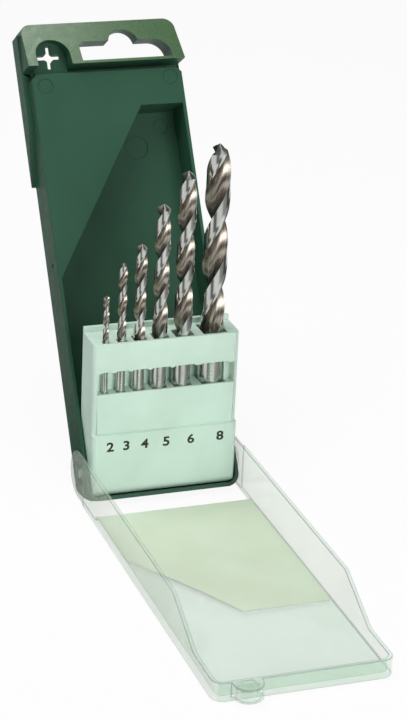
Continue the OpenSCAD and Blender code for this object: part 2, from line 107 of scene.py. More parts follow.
class Finish:
    """A new material with its Principled shader, and short ways to add and join nodes."""

    def __init__(self, name, **sockets):
        self.material = bpy.data.materials.new(name)
        self.material.use_nodes = True
        self.tree = self.material.node_tree
        self.shader = self.tree.nodes["Principled BSDF"]
        self.coords = self.tree.nodes.new("ShaderNodeTexCoord")
        for socket, value in sockets.items():
            self.shader.inputs[socket.replace("_", " ")].default_value = value

    def node(self, kind, **values):
        """A node of that kind; keys that are sockets set their value, the others are settings."""
        n = self.tree.nodes.new("ShaderNode" + kind)
        for key, value in values.items():
            if key in n.inputs:
                n.inputs[key].default_value = value
            else:
                setattr(n, key, value)
        return n

    def join(self, a, b):
        """Joins output a to input b."""
        self.tree.links.new(a, b)

    def noise(self, scale, detail=2.0, stretch=(1, 1, 1)):
        """Noise over Object coordinates, stretched along the axes; gives its 0 to 1 value."""
        mapping = self.node("Mapping")
        mapping.inputs["Scale"].default_value = stretch
        self.join(self.coords.outputs["Object"], mapping.inputs["Vector"])
        tex = self.node("TexNoise", Scale=scale, Detail=detail)
        self.join(mapping.outputs["Vector"], tex.inputs["Vector"])
        return tex.outputs["Fac"]

    def ramp(self, value, low, high, a=0.35, b=0.65):
        """A colour that goes from low to high as value goes from a to b."""
        r = self.node("ValToRGB")
        r.color_ramp.elements[0].position, r.color_ramp.elements[1].position = a, b
        r.color_ramp.elements[0].color = (*low, 1)
        r.color_ramp.elements[1].color = (*high, 1)
        self.join(value, r.inputs["Fac"])
        return r.outputs["Color"]

    def spread(self, value, low, high, a=0.3, b=0.7):
        """Maps value from the range a..b to low..high."""
        m = self.node("MapRange")
        for key, v in (("From Min", a), ("From Max", b), ("To Min", low), ("To Max", high)):
            m.inputs[key].default_value = v
        self.join(value, m.inputs["Value"])
        return m.outputs["Result"]

    def bump(self, height, distance, strength=1.0):
        """Raises the surface by height times distance, in metres, for shading only."""
        b = self.node("Bump", Strength=strength, Distance=distance)
        self.join(height, b.inputs["Height"])
        self.join(b.outputs["Normal"], self.shader.inputs["Normal"])
        return b


def shades(colour, amount):
    """A darker and a lighter shade of a colour, each by that amount."""
    return [tuple(c * (1 + s * amount) for c in colour) for s in (-1, 1)]


print("a grey of 0.5 drifts between", shades((0.5,), 0.05))

# %% [markdown]
# ## The moulded plastics
# The shell is dark green, the holder pale mint. A mould leaves a satin surface: the colour hardly
# changes, but roughness wanders a little and a fine grain breaks up the reflections.

# %% Green and mint plastic
GREEN, GREEN_SPECULAR = (0.024, 0.083, 0.048), 0.2
MINT, MINT_SPECULAR = (0.62, 0.80, 0.69), 0.35
DRIFT, DRIFT_SCALE = 0.05, 60       # how far the colour drifts from its mean, and the drift's scale
WANDER, WANDER_SCALE = 0.05, 400    # the same for roughness
GRAIN_SCALE = 2500


def moulded(name, colour, roughness, specular, depth):
    """Satin moulded plastic: slow colour drift, wandering roughness and a fine grain. Gives the finish and
    the output that holds its colour."""
    f = Finish(name)
    f.shader.inputs["Specular IOR Level"].default_value = specular
    plain = f.ramp(f.noise(DRIFT_SCALE, 3), *shades(colour, DRIFT))
    f.join(plain, f.shader.inputs["Base Color"])
    wandering = f.spread(f.noise(WANDER_SCALE, 4), roughness - WANDER, roughness + WANDER)
    f.join(wandering, f.shader.inputs["Roughness"])
    f.bump(f.noise(GRAIN_SCALE, 3), depth, 0.5)
    return f, plain


green, green_colour = moulded("green_plastic", GREEN, 0.42, GREEN_SPECULAR, 0.03 * MM)
green_plastic = green.material
mint_plastic = moulded("mint_plastic", MINT, 0.45, MINT_SPECULAR, 0.02 * MM)[0].material
print("plastics made")

# %% [markdown]
# The header's sloping front was spark-eroded in the mould, so it is coarser than the polished rest and
# glints more; its colour is painted a little lighter and yellower as well, a painted sheen. It is found
# by a mask in the shell's own upright coordinates: Object coordinates, moved to the hinge and turned
# back. There the sloping front is a straight line.

# %% The header's grain
LEAN = math.radians(31.85)          # how far the open shell leans back
HEADER_LOW = 134.5 * MM             # the sloping front's lower edge, from the hinge along the shell
HEADER_FRONT = -7.55 * MM           # the front there, from the hinge square to the shell
HEADER_SLOPE = 7.15 / 16            # how far it leans back for each step along the shell
# the header's colour, lighter than GREEN: painted sheen
HEADER_GREEN_AND_SHEEN = (0.032, 0.095, 0.026)
HEADER_SPECULAR = 0.9               # the grain glints more than the polished plastic does
HEADER_BLEND = 0.1 * MM             # how far the grain fades to each side of its lower edge
ON_FRONT, OFF_FRONT = 0.25 * MM, 0.45 * MM      # grained this near the front, plain this far from it
SPECKLE, SPECKLE_SCALE = 0.45, 2600             # how much the grain darkens and lightens, and its scale


def shell_coordinates(f):
    """Object coordinates turned so that X is across, Y square to the shell and Z along it."""
    upright = f.node("Mapping", vector_type="TEXTURE")
    upright.inputs["Location"].default_value = (0, HINGE_Y, HINGE_Z)
    upright.inputs["Rotation"].default_value = (-LEAN, 0, 0)
    f.join(f.coords.outputs["Object"], upright.inputs["Vector"])
    return upright.outputs["Vector"]


def combine(f, operation, a, b):
    """One Math node on two outputs or numbers."""
    m = f.node("Math", operation=operation)
    for socket, value in zip(m.inputs, (a, b)):
        if isinstance(value, (int, float)):
            socket.default_value = value
        else:
            f.join(value, socket)
    return m.outputs[0]


def tint(f, mask, base, colour):
    """The base colour where the mask is 0 and the given colour where it is 1."""
    mix = f.node("Mix", data_type="RGBA")
    mix.inputs[7].default_value = (*colour, 1)
    f.join(mask, mix.inputs[0])
    f.join(base, mix.inputs[6])
    return mix.outputs[2]


place = shell_coordinates(green)
axes = green.node("SeparateXYZ")
green.join(place, axes.inputs[0])
above = green.spread(axes.outputs["Z"], 0, 1, HEADER_LOW - HEADER_BLEND, HEADER_LOW + HEADER_BLEND)
slope_line = combine(green, "MULTIPLY_ADD", axes.outputs["Z"], HEADER_SLOPE)
slope_line.node.inputs[2].default_value = HEADER_FRONT - HEADER_SLOPE * HEADER_LOW
off_line = combine(green, "ABSOLUTE", combine(green, "SUBTRACT", axes.outputs["Y"], slope_line), 0)
header = combine(green, "MULTIPLY", above, green.spread(off_line, 1, 0, ON_FRONT, OFF_FRONT))
glint = green.spread(header, GREEN_SPECULAR, HEADER_SPECULAR, 0, 1)
green.join(glint, green.shader.inputs["Specular IOR Level"])
# the header takes its lighter colour here: painted sheen
coloured = tint(green, header, green_colour, HEADER_GREEN_AND_SHEEN)
speckle = green.spread(green.noise(SPECKLE_SCALE, 2), -SPECKLE, SPECKLE)
shade = combine(green, "ADD", combine(green, "MULTIPLY", header, speckle), 1)
grained = green.node("VectorMath", operation="SCALE")
green.join(coloured, grained.inputs[0])
green.join(shade, grained.inputs["Scale"])
green.join(grained.outputs[0], green.shader.inputs["Base Color"])
print("header slopes back", round(math.degrees(math.atan(HEADER_SLOPE)), 1), "degrees")

# %% [markdown]
# ## Softened edges
# A moulded edge is never sharp: it has a radius of about a quarter of a millimetre, and that thin
# band is what catches the light. The CAD node's triangles are copied, merged into flat faces and
# bevelled, so the piece keeps its exact form and gains its edges. The Bevel modifier's own clamp would
# shrink every edge to suit the tightest spot, so each edge gets a weight by the room beside it instead.

# %% How far each edge can be rounded
SHARP_ANGLE = math.radians(30.0)
ROOM_SHARED, ROOM_OWN = 0.4, 0.8    # share of a side edge a bevel takes: beside another bevel, or alone


def weigh_edges(bm, radius):
    """Bevel weights: 1 on a sharp edge with room for the radius, less in a tight spot, 0 elsewhere. The
    room at a corner is a share of the shortest edge that leads away from the sharp ones."""
    weights = bm.edges.layers.float.new("bevel_weight_edge")
    sharp = {e for e in bm.edges if e.is_manifold and e.calc_face_angle() > SHARP_ANGLE}
    corners = {v for e in sharp for v in e.verts}

    def room(v):
        aside = [e for e in v.link_edges if e not in sharp] or v.link_edges
        shares = [ROOM_SHARED if e.other_vert(v) in corners else ROOM_OWN for e in aside]
        return min(e.calc_length() * share for e, share in zip(aside, shares))

    rooms = {v: room(v) for v in corners}
    for e in sharp:
        e[weights] = min(1.0, min(rooms[v] for v in e.verts) / radius)


print("an edge counts as sharp from", round(math.degrees(SHARP_ANGLE)), "degrees on")

# %% [markdown]
# A corner where several roundings meet can still fold over itself. So the rounded piece is measured
# against the CAD surface, and the corner nearest to each folded spot keeps its sharp edges. Those are
# marked as sharp, or else the flat faces beside them would be shaded as if they curved.

# %% Corners that would fold stay sharp
FOLD_AREA = 0.03 * MM ** 2          # how much more than itself a face's triangles may cover
FOLD_FACE = 12 * MM ** 2            # faces up to this size are looked at for folds
EASE_ROUNDS = 6


def folded_spots(piece, surface, radius):
    """Points where the rounding went wrong: corners further from the CAD surface than half the radius, and
    the corners of small faces whose triangles cover more than the face itself, so that they fold over."""
    shown = piece.evaluated_get(bpy.context.evaluated_depsgraph_get()).to_mesh()
    shown.calc_loop_triangles()
    covered = np.zeros(len(shown.polygons))
    area = np.array([p.area for p in shown.polygons])
    triangles = shown.loop_triangles
    np.add.at(covered, [t.polygon_index for t in triangles], [t.area for t in triangles])
    small_folds = np.flatnonzero((covered - area > FOLD_AREA) & (area < FOLD_FACE))
    far = [v.co.copy() for v in shown.vertices if surface.find_nearest(v.co)[3] > radius / 2]
    return far + [shown.vertices[i].co.copy() for p in small_folds for i in shown.polygons[p].vertices]


def ease_folds(piece, node, radius):
    """Leaves the edges sharp at the corner nearest to each folded spot, and looks again, a few times."""
    mesh = piece.data
    source = frame["nodes"][node].data
    faces = [tuple(p.vertices) for p in source.polygons]
    surface = BVHTree.FromPolygons([v.co for v in source.vertices], faces)
    ends = np.array([tuple(e.vertices) for e in mesh.edges])
    weights = mesh.attributes["bevel_weight_edge"].data
    for _ in range(EASE_ROUNDS):
        spots = folded_spots(piece, surface, radius)
        level = np.empty(len(ends), np.float32)
        weights.foreach_get("value", level)
        corners = np.unique(ends[level > 0])
        tree = KDTree(len(corners))
        for index in corners:
            tree.insert(mesh.vertices[index].co, int(index))
        tree.balance()
        eased = {tree.find(spot)[1] for spot in spots}
        if not eased:
            break
        level[np.isin(ends, list(eased)).any(axis=1)] = 0
        weights.foreach_set("value", level)
        mesh.update_tag()
    keep_sharp(mesh, level == 0)
    return len(spots)


def keep_sharp(mesh, unrounded):
    """Marks the sharp ones of the unrounded edges, so that the flat faces beside them are shaded flat."""
    mesh.set_sharp_from_angle(angle=SHARP_ANGLE)
    marks = mesh.attributes["sharp_edge"].data
    is_sharp = np.empty(len(unrounded), bool)
    marks.foreach_get("value", is_sharp)
    marks.foreach_set("value", is_sharp & unrounded)
    mesh.update_tag()


print("folds are looked for in up to", EASE_ROUNDS, "rounds")

# %% [markdown]
# With these, one function dresses each moulded piece. A Weighted Normal modifier comes last: it lets
# the large flat faces decide the shading, so that only the thin rounded bands catch the light.

# %% Softened copies of the moulded nodes
FLAT_ANGLE = math.radians(1.0)      # triangles that turn less than this become one face
MERGE = 0.002 * MM                  # corners nearer than this become one corner
SIDEWAYS = 0.7                      # a face looks sideways when its normal's X is more than this
EDGE_RADIUS = 0.22 * MM
EDGE_STEPS = 2


def softened(node, name, radius, *finishes):
    """A copy of a CAD node with merged flat faces and rounded edges. The first finish is the piece's own;
    the edges take the last one, and of three the second goes on the faces that look sideways."""
    mesh = frame["nodes"][node].data.copy()
    mesh.name = name
    bm = bmesh.new()
    bm.from_mesh(mesh)
    bmesh.ops.remove_doubles(bm, verts=bm.verts, dist=MERGE)
    bmesh.ops.dissolve_limit(bm, angle_limit=FLAT_ANGLE, verts=bm.verts, edges=bm.edges)
    weigh_edges(bm, radius)
    bm.to_mesh(mesh)
    bm.free()
    mesh.materials.clear()
    for finish in finishes:
        mesh.materials.append(finish)
    # the lid's sideways walls take the second finish, painted lighter: painted light
    if len(finishes) == 3:
        sideways = [int(abs(face.normal.x) > SIDEWAYS) for face in mesh.polygons]
        mesh.polygons.foreach_set("material_index", sideways)
    piece = bpy.data.objects.new(name, mesh)
    scene.collection.objects.link(piece)
    bevel = piece.modifiers.new("edges", "BEVEL")
    bevel.width = radius
    bevel.segments = EDGE_STEPS
    bevel.limit_method = "WEIGHT"
    bevel.use_clamp_overlap = False
    bevel.material = len(finishes) - 1
    piece.modifiers.new("shading", "WEIGHTED_NORMAL").keep_sharp = True
    mesh.shade_smooth()
    left = ease_folds(piece, node, radius)
    body = next(b for b, names in frame["record"]["behaviour"]["bodies"].items() if node in names)
    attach(piece, body)
    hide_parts(node)
    print(name, len(mesh.polygons), "faces before its edges are rounded,", left, "folded spots left")
    return piece


shell = softened("shell", "back_shell", EDGE_RADIUS, green_plastic)
holder = softened("holder", "drill_holder", EDGE_RADIUS, mint_plastic)

# %% [markdown]
# Each ejector pin of the mould leaves a round mark. The marks are found on the shell itself: they are its
# flat faces whose corners all lie equally far from their middle. A fine ring of each one's radius is then
# darkened in the green plastic: painted shade along each mark's shallow rim.

# %% The ejector circles
ROUND_CORNERS = 20          # a round face has at least this many corners
ROUND_WITHIN = 0.1 * MM     # and their distances from its middle differ by less than this
SMALLEST_ROUND = 2.0 * MM
CIRCLE_WIDTH = 0.16 * MM
# the dark ring is painted shade along the mark's rim
RIM_PAINTED_SHADE = 0.55         # how dark the ring is, as a share of the plastic's colour


def round_faces(mesh):
    """Middle and radius of each flat face whose corners lie on one circle, to within ROUND_WITHIN."""
    found = []
    for face in mesh.polygons:
        corners = np.array([mesh.vertices[i].co for i in face.vertices])
        middle = (corners.min(axis=0) + corners.max(axis=0)) / 2
        radii = np.linalg.norm(corners - middle, axis=1)
        is_round = len(corners) >= ROUND_CORNERS and np.ptp(radii) < ROUND_WITHIN
        if is_round and radii.mean() > SMALLEST_ROUND:
            found.append((middle, float(radii.mean())))
    return found


circles = round_faces(shell.data)
rings = None
for middle, radius in circles:
    apart = green.node("VectorMath", operation="DISTANCE")
    apart.inputs[1].default_value = middle
    green.join(green.coords.outputs["Object"], apart.inputs[0])
    off = combine(green, "ABSOLUTE", combine(green, "SUBTRACT", apart.outputs["Value"], radius), 0)
    ring = green.spread(off, 1, 0, CIRCLE_WIDTH / 2, CIRCLE_WIDTH)
    rings = ring if rings is None else combine(green, "MAXIMUM", rings, ring)
if rings is not None:
    # painted shade: the rings darken the plastic's colour
    darker = combine(green, "MULTIPLY", rings, 1 - RIM_PAINTED_SHADE)
    green.join(combine(green, "SUBTRACT", shade, darker), grained.inputs["Scale"])
print(len(circles), "ejector circles, radii", [round(radius / MM, 2) for _, radius in circles])

# %% [markdown]
# ## The section of a twist drill
# A twist drill is one flat section carried up a helix. The section has two equal halves: a land that is
# ground a little below full size, a narrow margin at full size that guides the drill in its hole, and
# a flute that runs from the margin's sharp edge in to a thin web and out again to the next land. Points
# in a plane are written as complex numbers, because turning them is then one multiplication.

# %% The section of a twist drill
LAND_RADIUS = 0.955                     # the land's radius, as a share of the drill's
MARGIN_FROM, MARGIN_TO = 58.0, 70.0     # degrees round the half section
MARGIN_RISE = 1.5                       # degrees in which the land rises to the margin
FLUTE_PULL = -0.06 + 0.05j              # where the flute's middle is pulled to, near the axis
LAND_POINTS, MARGIN_POINTS, FLUTE_POINTS = 9, 4, 22


def arc(radius, start, end, count):
    """count points on a circle from start degrees on, up to but without end degrees."""
    return radius * np.exp(1j * np.radians(np.linspace(start, end, count, endpoint=False)))


def drill_section():
    """The section at radius 1: land and margin are arcs; the flute is a cubic Bezier from the margin's
    edge to the next land, whose two middle points are both FLUTE_PULL. The other half is its opposite."""
    land = arc(LAND_RADIUS, 0, MARGIN_FROM, LAND_POINTS)
    margin = arc(1.0, MARGIN_FROM + MARGIN_RISE, MARGIN_TO, MARGIN_POINTS)
    t = np.linspace(0, 1, FLUTE_POINTS, endpoint=False)
    edge, heel = np.exp(1j * np.radians(MARGIN_TO)), LAND_RADIUS * np.exp(1j * np.pi)
    flute = (1 - t) ** 3 * edge + 3 * t * (1 - t) * FLUTE_PULL + t ** 3 * heel
    half = np.concatenate([land, margin, flute])
    is_flute = np.arange(len(half)) >= len(land) + len(margin)
    return np.concatenate([half, -half]), np.concatenate([is_flute, is_flute])


SECTION, IS_FLUTE = drill_section()
print(len(SECTION), "corners, web", round(float(abs(SECTION).min()) * 2, 2), "of the radius")

# %% [markdown]
# ## Six twist drills
# Each drill is one grid: round the section one way, and up the drill the other way. The shank is the
# section pulled out to a circle; the flutes sink in over a short run-out. At the top every column ends on
# the point's cone, and the last rows draw in to the tip, a little lower behind each lip, as it is ground.

# %% Rings of points as one closed mesh


def smooth(value):
    """0 below 0, 1 above 1 and 3v^2 - 2v^3 between."""
    v = np.clip(value, 0, 1)
    return v * v * (3 - 2 * v)


def closed_rings(name, rings, low, high):
    """A mesh from rings of points, counter-clockwise from above and stacked upwards, closed by fans to the
    poles low and high: point k of a ring meets the next on its ring and the two above them."""
    rows, cols = rings.shape[:2]
    k, after = np.arange(cols), (np.arange(cols) + 1) % cols
    start = (np.arange(rows - 1) * cols)[:, None]
    above = start + cols
    quads = np.stack([start + k, start + after, above + after, above + k], axis=-1).reshape(-1, 4)
    foot, head = rows * cols, rows * cols + 1
    last = (rows - 1) * cols
    caps = np.concatenate([np.stack([np.full(cols, foot), after, k], axis=-1),
                           np.stack([last + k, last + after, np.full(cols, head)], axis=-1)])
    points = np.concatenate([rings.reshape(-1, 3), [low, high]])
    mesh = bpy.data.meshes.new(name)
    mesh.from_pydata(points.tolist(), [], quads.tolist() + caps.tolist())
    return mesh


def keep_unturned(mesh, points):
    """Stores a point for each vertex as the attribute unturned: where it would be with no twist."""
    stored = mesh.attributes.new("unturned", "FLOAT_VECTOR", "POINT")
    stored.data.foreach_set("vector", points.astype(np.float32).ravel())


print("smooth goes from", smooth(0), "to", smooth(1))

# %% A twist drill as one closed surface
POINT_ANGLE = math.radians(118)
HELIX = math.radians(29)
FLUTE_BASE = HINGE_Z + (47.4 - 6.0) * MM    # where the flutes begin, inside the holder
RUN_OUT = 1.6                               # height in which the flutes sink in, in radii
RELIEF = math.tan(math.radians(9))          # how fast the point falls away behind its lips
HEEL_FROM, HEEL_SPAN = 25, 60               # degrees past the lip where the flute's fall begins, and its span
RING_TURN = math.radians(6)                 # twist between two rings
POINT_ROWS = np.array([0.86, 0.72, 0.58, 0.44, 0.3, 0.16, 0.06])[:, None]   # the section's size in each
CHAMFER = 0.12                              # the shank's foot is drawn in by this share of its radius


def drill_mesh(name, low, high, start):
    """Column k at height z: radius times section[k], turned by start + tan(HELIX) (z - base) / radius. Up
    to the shoulder z runs from the base to the cone over section[k]; past it the section shrinks."""
    low, high = np.array(low), np.array(high)
    middle, radius = (low + high) / 2, (high[0] - low[0]) / 2
    size = abs(SECTION)
    turned = np.degrees(np.angle(SECTION)) % 180
    heel = MARGIN_TO * smooth((turned - MARGIN_TO - HEEL_FROM) / HEEL_SPAN)
    fall = RELIEF * radius * np.radians(np.where(turned < MARGIN_TO, MARGIN_TO - turned, heel))
    below_tip = (radius / math.tan(POINT_ANGLE / 2) + fall) * size

    foot, half_way = low[2], low[2] + 0.5 * (FLUTE_BASE - low[2])
    shank_z = np.array([foot, foot + CHAMFER * radius, half_way])[:, None] + 0 * size
    shank = np.array([1 - CHAMFER, 1.0, 1.0])[:, None] * SECTION / size

    twist = math.tan(HELIX) / radius
    count = int(math.ceil((high[2] - FLUTE_BASE) * twist / RING_TURN))
    body_z = FLUTE_BASE + np.linspace(0, 1, count + 1)[:, None] * (high[2] - below_tip - FLUTE_BASE)
    sunk = smooth((body_z - FLUTE_BASE) / (RUN_OUT * radius))
    body = SECTION / size * (1 - sunk) + SECTION * sunk

    z = np.concatenate([shank_z, body_z, high[2] - below_tip * POINT_ROWS])
    unturned = np.concatenate([shank, body, SECTION * POINT_ROWS]) * radius
    flat = unturned * np.exp(1j * (math.radians(start) + twist * np.maximum(z - FLUTE_BASE, 0)))
    rings = np.stack([middle[0] + flat.real, middle[1] + flat.imag, z], axis=-1)
    mesh = closed_rings(name, rings, (middle[0], middle[1], foot), (middle[0], middle[1], high[2]))
    straight = np.stack([unturned.real, unturned.imag, z], axis=-1).reshape(-1, 3)
    keep_unturned(mesh, np.concatenate([straight, [(0, 0, foot), (0, 0, high[2])]]))

    row = np.arange(len(z) - 1)[:, None]
    in_flute = IS_FLUTE[None, :] & (row >= len(shank)) & (row < len(shank) + count)
    finish = np.concatenate([in_flute.ravel(), np.zeros(2 * len(SECTION), bool)])
    mesh.polygons.foreach_set("material_index", finish.astype(np.int32))
    return mesh


print("flutes begin", round(FLUTE_BASE / MM, 1), "mm up")

# %% [markdown]
# Drill steel is a metal: all its looks are reflections. The shank and the lands are ground bright. The
# flutes were cut and then blued by heat to a brownish grey, with fine marks that run along them. Those
# marks follow the helix, so their noise reads each point's place before the drill was twisted.

# %% Bright and blued steel
BRIGHT = (0.50, 0.52, 0.48), (0.62, 0.64, 0.60)         # the darkest and the lightest of the ground steel
BLUED = (0.17, 0.145, 0.12), (0.46, 0.42, 0.36)         # and of the flutes
GROUND_MARKS = (1, 1, 0.15)                             # marks drawn out along the drill
FLUTE_MARKS = (1, 1, 0.04)

bright_steel = Finish("drill_steel", Metallic=1.0)
ground = bright_steel.ramp(bright_steel.noise(700, 2, GROUND_MARKS), *BRIGHT)
bright_steel.join(ground, bright_steel.shader.inputs["Base Color"])
polish = bright_steel.spread(bright_steel.noise(300, 2), 0.13, 0.20)
bright_steel.join(polish, bright_steel.shader.inputs["Roughness"])

flute_steel = Finish("flute_steel", Metallic=1.0)
unturned = flute_steel.node("Attribute", attribute_name="unturned")
drawn_out = flute_steel.node("Mapping")
drawn_out.inputs["Scale"].default_value = FLUTE_MARKS
flute_steel.join(unturned.outputs["Vector"], drawn_out.inputs["Vector"])
streaks = flute_steel.node("TexNoise", Scale=1800.0, Detail=3.0)
flute_steel.join(drawn_out.outputs["Vector"], streaks.inputs["Vector"])
blued = flute_steel.ramp(streaks.outputs["Fac"], *BLUED, 0.3, 0.72)
flute_steel.join(blued, flute_steel.shader.inputs["Base Color"])
cut = flute_steel.spread(streaks.outputs["Fac"], 0.24, 0.38)
flute_steel.join(cut, flute_steel.shader.inputs["Roughness"])
print("drill steel made")

# %% The six drills
STEEL_EDGE = math.radians(32)       # edges that turn more than this are shaded sharp
FLUTE_START = {2: 42, 3: -73, 4: 31, 5: -9, 6: -25, 8: 52}    # degrees each is turned in its socket
for size, start in FLUTE_START.items():
    node = f"drill_{size}"
    mesh = drill_mesh(f"twist_drill_{size}", *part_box(node), start)
    mesh.materials.append(bright_steel.material)
    mesh.materials.append(flute_steel.material)
    mesh.shade_smooth()
    mesh.set_sharp_from_angle(angle=STEEL_EDGE)
    piece = bpy.data.objects.new(mesh.name, mesh)
    scene.collection.objects.link(piece)
    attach(piece, node + "_bit")
    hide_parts(node)
    print(piece.name, len(mesh.polygons), "faces")

# %% [markdown]
# ## The card in the lid
# A thin card lies loose in the lid, cut off at a slant on the side away from the hinge. It never lies
# quite flat: it waves a little, and its slanted edge has sprung up by less than a millimetre.

# %% The card as a thin closed sheet
CARD_LOW, CARD_HIGH = (np.array(corner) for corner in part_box("card"))
CARD_HALF = (CARD_HIGH[0] - CARD_LOW[0]) / 2
CARD_KINK = CARD_HIGH[1] - 31 * MM          # where the slanted edge leaves the left side
CARD_CORNER = -2.3 * MM                     # where it meets the far end
CARD_LIFT, LIFT_REACH = 0.8 * MM, 9 * MM    # how high the slanted edge has sprung, and how far in
WAVE_HEIGHT, WAVE_FADE = 0.06 * MM, 5 * MM  # the waves, and the stretch in which they begin
WAVE_ACROSS, WAVE_ALONG = 7 * MM, 9 * MM
WAVE_SHIFT = 1.3                            # radians
CUT_ROWS, FULL_ROWS, COLUMNS = 41, 31, 49   # grid lines along the slanted edge, past it, and across


def card_grid():
    """Rows from the far end to the hinge and columns from left to right. Left of the slanted edge is cut
    away; the lift is a sine along that edge times exp(-(distance from it / LIFT_REACH) squared)."""
    cut = np.linspace(CARD_LOW[1], CARD_KINK, CUT_ROWS)
    full = np.linspace(CARD_KINK, CARD_HIGH[1], FULL_ROWS)
    y = np.concatenate([cut, full[1:]])[:, None]
    along = np.clip((y - CARD_LOW[1]) / (CARD_KINK - CARD_LOW[1]), 0, 1)
    left = CARD_CORNER + (-CARD_HALF - CARD_CORNER) * along
    x = left + (CARD_HALF - left) * np.linspace(0, 1, COLUMNS)[None, :]
    lift = CARD_LIFT * np.sin(np.pi * along) * np.exp(-((x - left) / LIFT_REACH) ** 2)
    wave = WAVE_HEIGHT * (1 + np.sin(x / WAVE_ACROSS + WAVE_SHIFT) * np.cos(y / WAVE_ALONG))
    wave = wave * smooth((CARD_KINK - y) / WAVE_FADE)
    return np.stack([x, y + 0 * x, CARD_LOW[2] + lift + wave], axis=-1)


def closed_sheet(name, under, thickness):
    """A sheet of even thickness over a grid of points: underside, upper side and the rim between them."""
    rows, cols = under.shape[:2]
    place = np.arange(rows * cols).reshape(rows, cols)
    quads = np.stack([place[:-1, :-1], place[:-1, 1:], place[1:, 1:], place[1:, :-1]], axis=-1)
    quads = quads.reshape(-1, 4)
    border = np.concatenate([place[0, :-1], place[:-1, -1], place[-1, :0:-1], place[:0:-1, 0]])
    after = np.roll(border, -1)
    rim = np.stack([border, after, after + rows * cols, border + rows * cols], axis=-1)
    faces = np.concatenate([quads[:, ::-1], quads + rows * cols, rim])
    points = np.stack([under, under + (0, 0, thickness)]).reshape(-1, 3)
    mesh = bpy.data.meshes.new(name)
    mesh.from_pydata(points.tolist(), [], faces.tolist())
    return mesh


card_mesh = closed_sheet("lid_card", card_grid(), CARD_HIGH[2] - CARD_LOW[2])
print("card", len(card_mesh.polygons), "faces")

# %% Plain card, and the card in its place
CARD_SHADES = (0.65, 0.75, 0.58), (0.69, 0.79, 0.63)
CARD_EDGE = math.radians(40)        # edges that turn more than this are shaded sharp

paper_card = Finish("card", Roughness=0.75)
paper_card.shader.inputs["Specular IOR Level"].default_value = 0.25
fibres = paper_card.noise(700, 4, (1, 3, 1))
pulp = paper_card.ramp(paper_card.noise(55, 2), *CARD_SHADES)
paper_card.join(pulp, paper_card.shader.inputs["Base Color"])
paper_card.bump(fibres, 0.02 * MM, 0.4)

card_mesh.materials.append(paper_card.material)
card_mesh.shade_smooth()
card_mesh.set_sharp_from_angle(angle=CARD_EDGE)
card = bpy.data.objects.new("lid_card", card_mesh)
scene.collection.objects.link(card)
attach(card, "lid")
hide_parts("card")
print("card placed")

# %% [markdown]
# ## The size numbers
# Each drill's diameter is printed in bold black on the holder's front. A text curve is turned into a
# mesh, brought to the printed height and laid on the number panel as a film of ink.

# %% The size numbers
NUMBER_HEIGHT = 3.3 * MM
NUMBER_STRETCH = 1.14       # the printed digits are wider and bolder than the built-in letters
NUMBER_BOLD = 0.03          # how far their outline is moved outwards, as a share of the type size
NUMBER_LOW = HINGE_Z + 10.6 * MM
INK = 0.03 * MM             # the film's thickness
PANEL_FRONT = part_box("holder")[0][1]
NUMBER_X = {2: -18.7, 3: -13.3, 4: -7.1, 5: 0.2, 6: 8.6, 8: 18.6}   # millimetres from the middle
INK_SHADES = (0.006, 0.010, 0.008), (0.012, 0.016, 0.013)

black_ink = Finish("black_ink", Roughness=0.5)
black_ink.join(black_ink.ramp(black_ink.noise(1500, 2), *INK_SHADES), black_ink.shader.inputs["Base Color"])


def number_mesh(text, centre_x):
    """A digit: its outline scaled to NUMBER_HEIGHT and its depth to INK, upright, facing -Y, centred on
    centre_x."""
    curve = bpy.data.curves.new("digit", "FONT")
    curve.body, curve.extrude, curve.offset, curve.resolution_u = text, 0.01, NUMBER_BOLD, 8
    maker = bpy.data.objects.new("digit", curve)
    scene.collection.objects.link(maker)
    mesh = bpy.data.meshes.new_from_object(maker.evaluated_get(bpy.context.evaluated_depsgraph_get()))
    bpy.data.objects.remove(maker)
    flat = np.empty(len(mesh.vertices) * 3)
    mesh.vertices.foreach_get("co", flat)
    flat = flat.reshape(-1, 3)
    low, high = flat.min(axis=0), flat.max(axis=0)
    scale = NUMBER_HEIGHT / (high[1] - low[1])
    depth = (flat[:, 2] - low[2]) / (high[2] - low[2])
    x = centre_x + (flat[:, 0] - (low[0] + high[0]) / 2) * scale * NUMBER_STRETCH
    y = PANEL_FRONT + INK / 2 - depth * INK
    z = NUMBER_LOW + (flat[:, 1] - low[1]) * scale
    mesh.vertices.foreach_set("co", np.stack([x, y, z], axis=-1).ravel())
    return mesh


numbers = bmesh.new()
for size, centre in NUMBER_X.items():
    numbers.from_mesh(number_mesh(str(size), centre * MM))
bmesh.ops.remove_doubles(numbers, verts=numbers.verts, dist=1e-7)
bmesh.ops.recalc_face_normals(numbers, faces=numbers.faces)
ink_mesh = bpy.data.meshes.new("size_numbers")
numbers.to_mesh(ink_mesh)
numbers.free()
ink_mesh.materials.clear()
ink_mesh.materials.append(black_ink.material)
size_numbers = bpy.data.objects.new("size_numbers", ink_mesh)
scene.collection.objects.link(size_numbers)
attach(size_numbers, "holder")
print("numbers", len(ink_mesh.polygons), "faces")

# %% [markdown]
# ## The clear lid
# The lid is clear plastic that the mould has left faintly hazy and green. Seen square on, it lets most
# light through; at a glance and round every edge, where the eye looks along the plastic, it turns denser
# and greyer. Layer Weight gives that angle, and drives how solid the surface is. The side walls are
# clearer than the floor and have a finish of their own, painted much lighter: painted light, for the light
# that comes through them. The rounded edges have the darkest: painted shade along them.

# %% The clear lid
CLEAR = (0.50, 0.72, 0.54)
# the side walls' colour, much lighter than CLEAR: painted light
WALL_PAINTED_LIGHT = (0.90, 1.0, 0.86)
GLANCE = (0.56, 0.70, 0.59)
